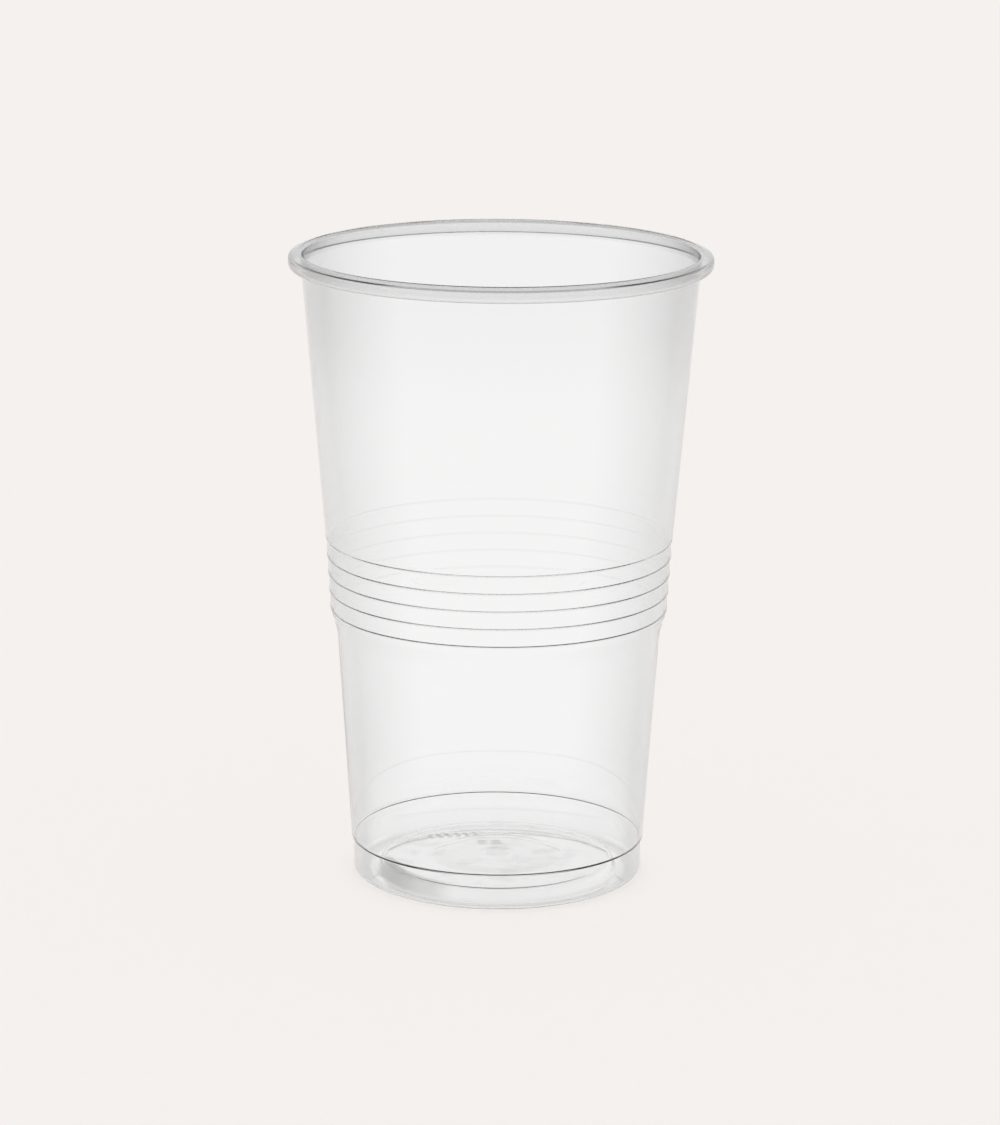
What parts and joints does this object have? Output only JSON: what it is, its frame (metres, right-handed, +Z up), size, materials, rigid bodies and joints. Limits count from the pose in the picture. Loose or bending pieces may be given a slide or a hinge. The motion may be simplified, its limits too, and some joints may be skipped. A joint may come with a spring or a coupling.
{
  "type": "plastic drinking cup",
  "caption": "Clear disposable drinking cup: tapered thin wall with rolled rim, fine grip rings, shoulder, upright foot and raised floor.",
  "frame": {"origin": "centre of the resting ring's plane, under the middle of the cup", "axes": "+Z up along the cup's axis of revolution, out of its mouth"},
  "size_m": [0.084, 0.084, 0.1268],
  "materials": {
    "clear_sheet": "clear gloss"
  },
  "bodies": {
    "root": {"cup": "clear_sheet"}
  },
  "joints": []
}
